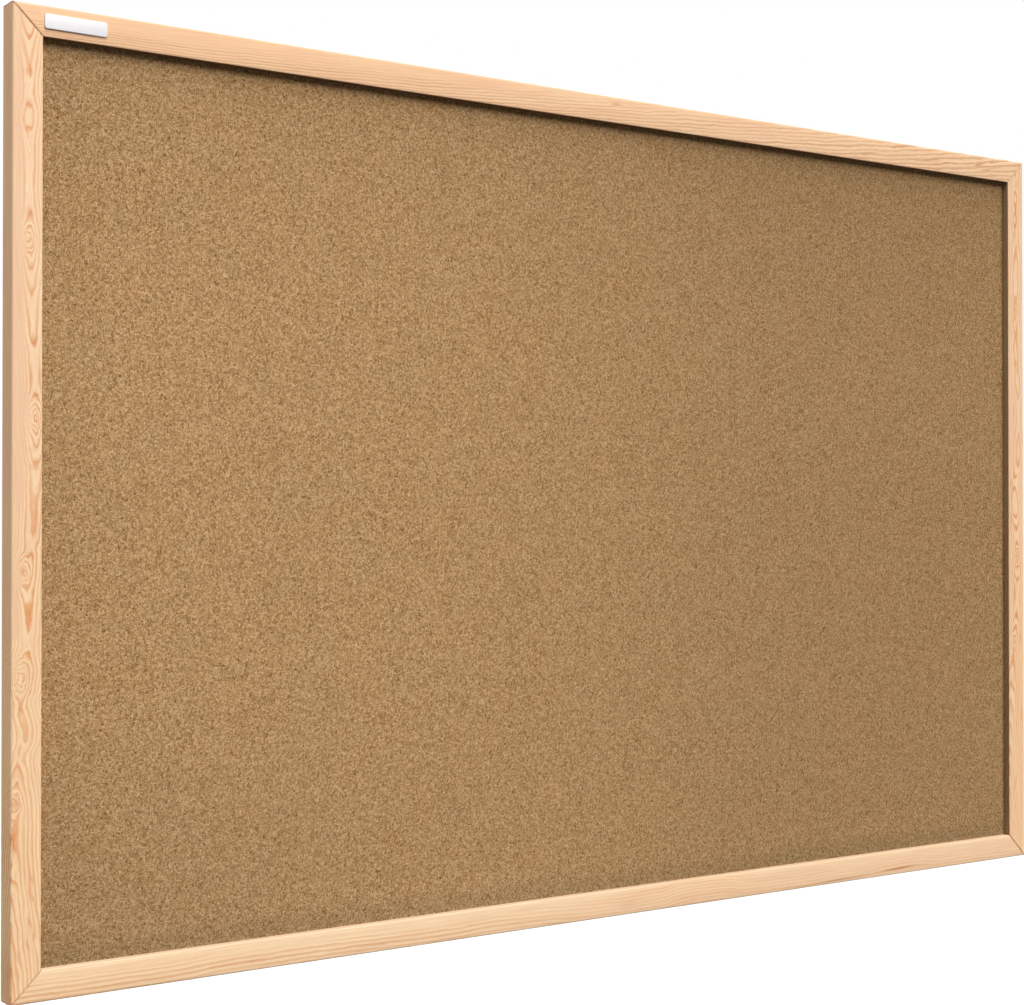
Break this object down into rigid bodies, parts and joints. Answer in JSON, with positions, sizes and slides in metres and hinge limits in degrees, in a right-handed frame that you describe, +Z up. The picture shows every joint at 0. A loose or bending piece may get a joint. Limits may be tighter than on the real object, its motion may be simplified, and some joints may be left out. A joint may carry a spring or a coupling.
{
  "type": "cork notice board",
  "caption": "Flat rectangular cork board in a mitred natural pine frame, with swinging D-ring hangers on its back.",
  "frame": {"origin": "middle of the board, in the plane of the frame's back, which faces the wall", "axes": "+X to the right as seen from the front, +Y out of the back towards the wall, +Z up; the cork faces -Y"},
  "size_m": [0.9, 0.0222, 0.6],
  "materials": {
    "pine": "satin",
    "cork": "matte",
    "softboard": "matte",
    "white_plastic": "satin",
    "zinc_steel": "satin",
    "nail_steel": "satin"
  },
  "bodies": {
    "board": {"frame_top": "pine", "frame_bottom": "pine", "frame_left": "pine", "frame_right": "pine", "corner_nail_top_right_1": "nail_steel", "corner_nail_top_right_2": "nail_steel", "corner_nail_bottom_right_1": "nail_steel", "corner_nail_bottom_right_2": "nail_steel", "corner_nail_bottom_left_1": "nail_steel", "corner_nail_bottom_left_2": "nail_steel", "corner_nail_top_left_1": "nail_steel", "corner_nail_top_left_2": "nail_steel", "cork_sheet": "cork", "core_board": "softboard", "badge_plate": "white_plastic", "hanger_strap_left": "zinc_steel", "hanger_screw_left": "zinc_steel", "hanger_strap_right": "zinc_steel", "hanger_screw_right": "zinc_steel"},
    "ring_left": {"hanger_ring_left": "zinc_steel"},
    "ring_right": {"hanger_ring_right": "zinc_steel"}
  },
  "joints": [
    {"name": "ring_left_swing", "type": "hinge", "parent": "board", "child": "ring_left", "pos_m": [-0.4405, 0.0022, 0.23], "axis": [1, 0, 0], "range_deg": [0, 178]},
    {"name": "ring_right_swing", "type": "hinge", "parent": "board", "child": "ring_right", "pos_m": [0.4405, 0.0022, 0.23], "axis": [1, 0, 0], "range_deg": [0, 178]}
  ]
}
